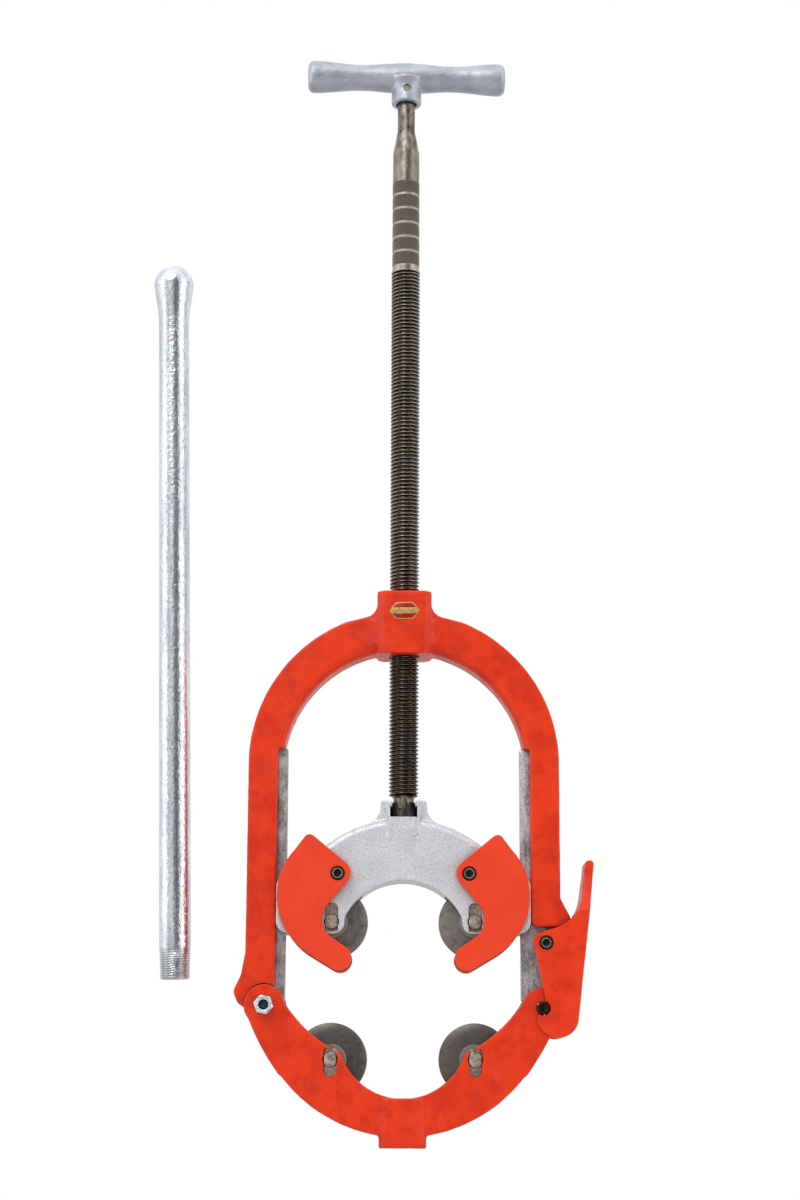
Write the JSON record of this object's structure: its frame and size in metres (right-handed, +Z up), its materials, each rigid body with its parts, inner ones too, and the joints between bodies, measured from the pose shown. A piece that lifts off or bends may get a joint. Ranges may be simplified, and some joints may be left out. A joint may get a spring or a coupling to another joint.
{
  "type": "hinged pipe cutter",
  "caption": "Hinged frame pipe cutter with a screw-fed wheel yoke, a swinging lower jaw held by a latch, sprung pipe guides, and a loose pipe handle.",
  "frame": {"origin": "middle of the floor of the threaded handle socket in the lower jaw's boss, on the feed screw's axis and at mid depth; the flat foot of the boss is 32 mm below it", "axes": "+Z up the feed screw to the tee handle, +X towards the latch, -Y out of the front face"},
  "size_m": [0.3652, 0.0558, 0.9147],
  "materials": {
    "red_paint": "glossy enamel over rough casting, small lumps and soft worn edges",
    "orange_powder_coat": "even satin powder coat on pressed plate",
    "silver_paint": "hammered silver paint over casting",
    "badge_enamel": "dark red and cream enamel, plain, no lettering",
    "cast_zinc": "zinc-plated casting, satin and slightly mottled",
    "dark_steel": "dark brown-grey machined steel with oil film",
    "wheel_steel": "turned tool steel, dark, fine concentric marks",
    "pin_steel": "ground steel, dull, slightly stained",
    "black_oxide": "black oxide socket screws",
    "zinc_plate": "bright zinc plate",
    "galvanised_pipe": "bright galvanised tube, fine speckle",
    "spring_steel": "brownish spring wire"
  },
  "bodies": {
    "frame": {"upper_frame": "red_paint", "badge_plate": "badge_enamel", "hinge_bolt": "zinc_plate", "hinge_nut": "zinc_plate", "latch_pivot_screw": "black_oxide"},
    "yoke": {"wheel_yoke": "silver_paint", "upper_left_wheel_pin": "pin_steel", "upper_right_wheel_pin": "pin_steel", "front_left_guide_screw": "black_oxide", "front_right_guide_screw": "black_oxide", "rear_left_guide_screw": "black_oxide", "rear_right_guide_screw": "black_oxide"},
    "feed": {"feed_screw": "dark_steel", "t_handle": "cast_zinc", "t_handle_pin": "dark_steel"},
    "jaw": {"lower_jaw": "red_paint", "catch_pin": "black_oxide", "lower_left_wheel_pin": "pin_steel", "lower_right_wheel_pin": "pin_steel"},
    "latch": {"latch": "red_paint"},
    "handle": {"pipe_handle": "galvanised_pipe"},
    "upper_left_wheel": {"upper_left_cutter_wheel": "wheel_steel"},
    "upper_right_wheel": {"upper_right_cutter_wheel": "wheel_steel"},
    "lower_left_wheel": {"lower_left_cutter_wheel": "wheel_steel"},
    "lower_right_wheel": {"lower_right_cutter_wheel": "wheel_steel"},
    "front_left_guide": {"front_left_guide": "orange_powder_coat", "front_left_guide_spring": "spring_steel"},
    "front_right_guide": {"front_right_guide": "orange_powder_coat", "front_right_guide_spring": "spring_steel"},
    "rear_left_guide": {"rear_left_guide": "orange_powder_coat", "rear_left_guide_spring": "spring_steel"},
    "rear_right_guide": {"rear_right_guide": "orange_powder_coat", "rear_right_guide_spring": "spring_steel"}
  },
  "joints": [
    {"name": "screw_turn", "type": "hinge", "parent": "yoke", "child": "feed", "pos_m": [0, 0, 0.568], "axis": [0, 0, 1], "range_deg": [-1130, 9970]},
    {"name": "slide_feed", "type": "slide", "parent": "frame", "child": "yoke", "axis": [0, 0, 1], "range_m": [-0.01, 0.088]},
    {"name": "jaw_swing", "type": "hinge", "parent": "frame", "child": "jaw", "pos_m": [-0.1094, 0, 0.0775], "axis": [0, 1, 0], "range_deg": [0, 85]},
    {"name": "latch_release", "type": "hinge", "parent": "frame", "child": "latch", "pos_m": [0.1128, 0, 0.1265], "axis": [0, -1, 0], "range_deg": [0, 14]},
    {"name": "upper_left_wheel_spin", "type": "hinge", "parent": "yoke", "child": "upper_left_wheel", "pos_m": [-0.0569, 0, 0.1429], "axis": [0, 1, 0], "continuous": true},
    {"name": "upper_right_wheel_spin", "type": "hinge", "parent": "yoke", "child": "upper_right_wheel", "pos_m": [0.0569, 0, 0.1429], "axis": [0, 1, 0], "continuous": true},
    {"name": "lower_left_wheel_spin", "type": "hinge", "parent": "jaw", "child": "lower_left_wheel", "pos_m": [-0.0569, 0, 0.0357], "axis": [0, 1, 0], "continuous": true},
    {"name": "lower_right_wheel_spin", "type": "hinge", "parent": "jaw", "child": "lower_right_wheel", "pos_m": [0.0569, 0, 0.0357], "axis": [0, 1, 0], "continuous": true},
    {"name": "front_left_guide_swing", "type": "hinge", "parent": "yoke", "child": "front_left_guide", "pos_m": [-0.0522, 0, 0.1803], "axis": [0, 1, 0], "range_deg": [0, 12]},
    {"name": "front_right_guide_swing", "type": "hinge", "parent": "yoke", "child": "front_right_guide", "pos_m": [0.0522, 0, 0.1803], "axis": [0, -1, 0], "range_deg": [0, 12]},
    {"name": "rear_left_guide_swing", "type": "hinge", "parent": "yoke", "child": "rear_left_guide", "pos_m": [-0.0522, 0, 0.1803], "axis": [0, 1, 0], "range_deg": [0, 12]},
    {"name": "rear_right_guide_swing", "type": "hinge", "parent": "yoke", "child": "rear_right_guide", "pos_m": [0.0522, 0, 0.1803], "axis": [0, -1, 0], "range_deg": [0, 12]},
    {"name": "handle_swing", "type": "hinge", "parent": "frame", "child": "handle", "pos_m": [-0.08983, 0, 0.03269], "axis": [0, -1, 0], "range_deg": [0, 178.5]}
  ],
  "couplings": [
    {"joint": "slide_feed", "follows": "screw_turn", "m_per_rad": 0.00050532}
  ]
}
